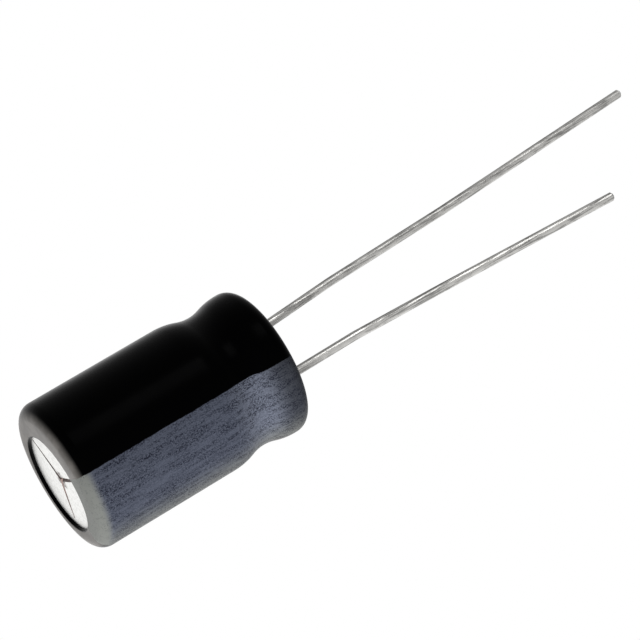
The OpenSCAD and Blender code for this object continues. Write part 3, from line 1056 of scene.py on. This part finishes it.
class CAPACITOR_OT_studio(bpy.types.Operator):
    """Sets up the camera, the pale floor and the soft lights"""

    bl_idname = "capacitor.studio"
    bl_label = "Studio"

    def execute(self, context):
        settings = context.scene.capacitor.studio
        scene = context.scene
        scene.view_settings.view_transform = "Standard"
        azimuth, elevation = settings.camera_azimuth, settings.camera_elevation
        back = Vector(
            (
                math.sin(azimuth) * math.cos(elevation),
                -math.cos(azimuth) * math.cos(elevation),
                math.sin(elevation),
            )
        )
        self.add_camera(scene, settings, back)
        self.add_floor(scene, settings)
        self.light_room(scene, settings)
        self.add_softbox(scene, "key_softbox", KEY_FROM, KEY_SIZE, settings.key_power)
        self.add_softbox(scene, "fill_softbox", FILL_FROM, FILL_SIZE, settings.fill_power)
        return {"FINISHED"}

    @staticmethod
    def add_camera(scene, settings, back):
        """The camera, level first and then rolled."""
        camera = bpy.data.objects.new("camera", bpy.data.cameras.new("camera"))
        scene.collection.objects.link(camera)
        camera.data.sensor_width = SENSOR_WIDTH
        camera.data.lens = settings.lens
        camera.data.clip_start = CLIP_START
        camera.data.clip_end = CLIP_END
        camera.location = Vector(settings.camera_aim) + back * settings.camera_distance
        camera.rotation_mode = "QUATERNION"
        level = (-back).to_track_quat("-Z", "Y")
        camera.rotation_quaternion = level @ Quaternion((0, 0, 1), settings.camera_roll)
        scene.camera = camera

    @staticmethod
    def add_floor(scene, settings):
        """A plain white floor at the tips of the leads, which hides nothing from below."""
        bm = bmesh.new()
        bmesh.ops.create_grid(bm, x_segments=2, y_segments=2, size=settings.floor_size / 2)
        bmesh.ops.translate(bm, verts=bm.verts[:], vec=(0, 0, LEAD_LOW.z - FLOOR_DROP))
        floor = add_object("floor", bm)
        material = bpy.data.materials.new("White Paper")
        material.use_nodes = True
        tree = material.node_tree
        shader = tree.nodes["Principled BSDF"]
        shader.inputs["Base Color"].default_value = (0.02, 0.02, 0.02, 1)
        shader.inputs["Roughness"].default_value = 0.9
        glow = add_node(tree, "ShaderNodeEmission", {"Color": (1, 1, 1, 1), "Strength": 1.0})
        seen = tree.nodes.new("ShaderNodeLightPath").outputs["Is Camera Ray"]
        under = tree.nodes.new("ShaderNodeNewGeometry").outputs["Backfacing"]
        seen_from_above = sums(tree, "SUBTRACT", seen, under, clamp=True)
        clear = tree.nodes.new("ShaderNodeBsdfTransparent").outputs[0]
        mixed = add_node(
            tree, "ShaderNodeMixShader", {0: seen_from_above, 1: clear, 2: glow.outputs[0]}
        ).outputs[0]
        tree.links.new(mixed, tree.nodes["Material Output"].inputs["Surface"])
        floor.data.materials.append(material)

    @staticmethod
    def light_room(scene, settings):
        """White paper behind and round the part, and a dark room in front of it."""
        world = bpy.data.worlds.new("Studio")
        scene.world = world
        world.use_nodes = True
        tree = world.node_tree
        tree.nodes.clear()
        ahead = tree.nodes.new("ShaderNodeTexCoord").outputs["Generated"]
        heading = Vector(settings.paper_heading).normalized()
        facing = add_node(
            tree, "ShaderNodeVectorMath", {0: ahead, 1: heading}, operation="DOT_PRODUCT"
        ).outputs["Value"]
        light = span(tree, facing, *PAPER_EDGE, settings.front_light, settings.paper_light)
        room = add_node(tree, "ShaderNodeBackground", {"Strength": light})
        white = add_node(tree, "ShaderNodeBackground", {"Strength": 1.0})
        for node in (room, white):
            node.inputs["Color"].default_value = (1, 1, 1, 1)
        seen = tree.nodes.new("ShaderNodeLightPath").outputs["Is Camera Ray"]
        mixed = add_node(
            tree, "ShaderNodeMixShader", {0: seen, 1: room.outputs[0], 2: white.outputs[0]}
        ).outputs[0]
        output = tree.nodes.new("ShaderNodeOutputWorld")
        tree.links.new(mixed, output.inputs["Surface"])

    @staticmethod
    def add_softbox(scene, name, direction, size, power):
        """A square softbox that faces the part and isn't seen itself."""
        light = bpy.data.lights.new(name, "AREA")
        light.shape = "SQUARE"
        light.size = size
        light.energy = power
        box = bpy.data.objects.new(name, light)
        scene.collection.objects.link(box)
        towards = Vector(direction).normalized()
        box.location = Vector(LIGHT_AIM) + towards * LIGHT_DISTANCE
        box.rotation_mode = "QUATERNION"
        box.rotation_quaternion = (-towards).to_track_quat("-Z", "Y")
        box.visible_camera = False


class CAPACITOR_PT_panel(bpy.types.Panel):
    """Lists the pieces and their sizes"""

    bl_label = "Radial Capacitor"
    bl_idname = "CAPACITOR_PT_panel"
    bl_space_type = "VIEW_3D"
    bl_region_type = "UI"
    bl_category = "Capacitor"

    def draw(self, context):
        settings = context.scene.capacitor
        for operator, groups in (
            ("capacitor.sleeve", (settings.bead, settings.sleeve, settings.sleeve_looks)),
            ("capacitor.can", (settings.can,)),
            ("capacitor.bung", (settings.bung,)),
            ("capacitor.leads", (settings.leads,)),
            ("capacitor.winding", (settings.metals,)),
            ("capacitor.studio", (settings.studio,)),
        ):
            box = self.layout.box()
            box.operator(operator)
            for group in groups:
                for name in group.__annotations__:
                    box.prop(group, name)


CLASSES = (
    BeadSizes,
    SleeveSizes,
    SleeveLooks,
    CanSizes,
    BungSizes,
    LeadSizes,
    MetalLooks,
    StudioSettings,
    CapacitorSettings,
    CAPACITOR_OT_sleeve,
    CAPACITOR_OT_can,
    CAPACITOR_OT_bung,
    CAPACITOR_OT_leads,
    CAPACITOR_OT_winding,
    CAPACITOR_OT_studio,
    CAPACITOR_PT_panel,
)


def register():
    """Registers the classes and the scene's settings."""
    for kind in CLASSES:
        bpy.utils.register_class(kind)
    bpy.types.Scene.capacitor = PointerProperty(type=CapacitorSettings)


def unregister():
    """Takes the settings and the classes away again."""
    del bpy.types.Scene.capacitor
    for kind in reversed(CLASSES):
        bpy.utils.unregister_class(kind)


def main():
    """Builds the pieces and the studio."""
    register()
    bpy.ops.capacitor.sleeve()
    bpy.ops.capacitor.can()
    bpy.ops.capacitor.bung()
    bpy.ops.capacitor.leads()
    bpy.ops.capacitor.winding()
    bpy.ops.capacitor.studio()


if __name__ == "__main__":
    main()
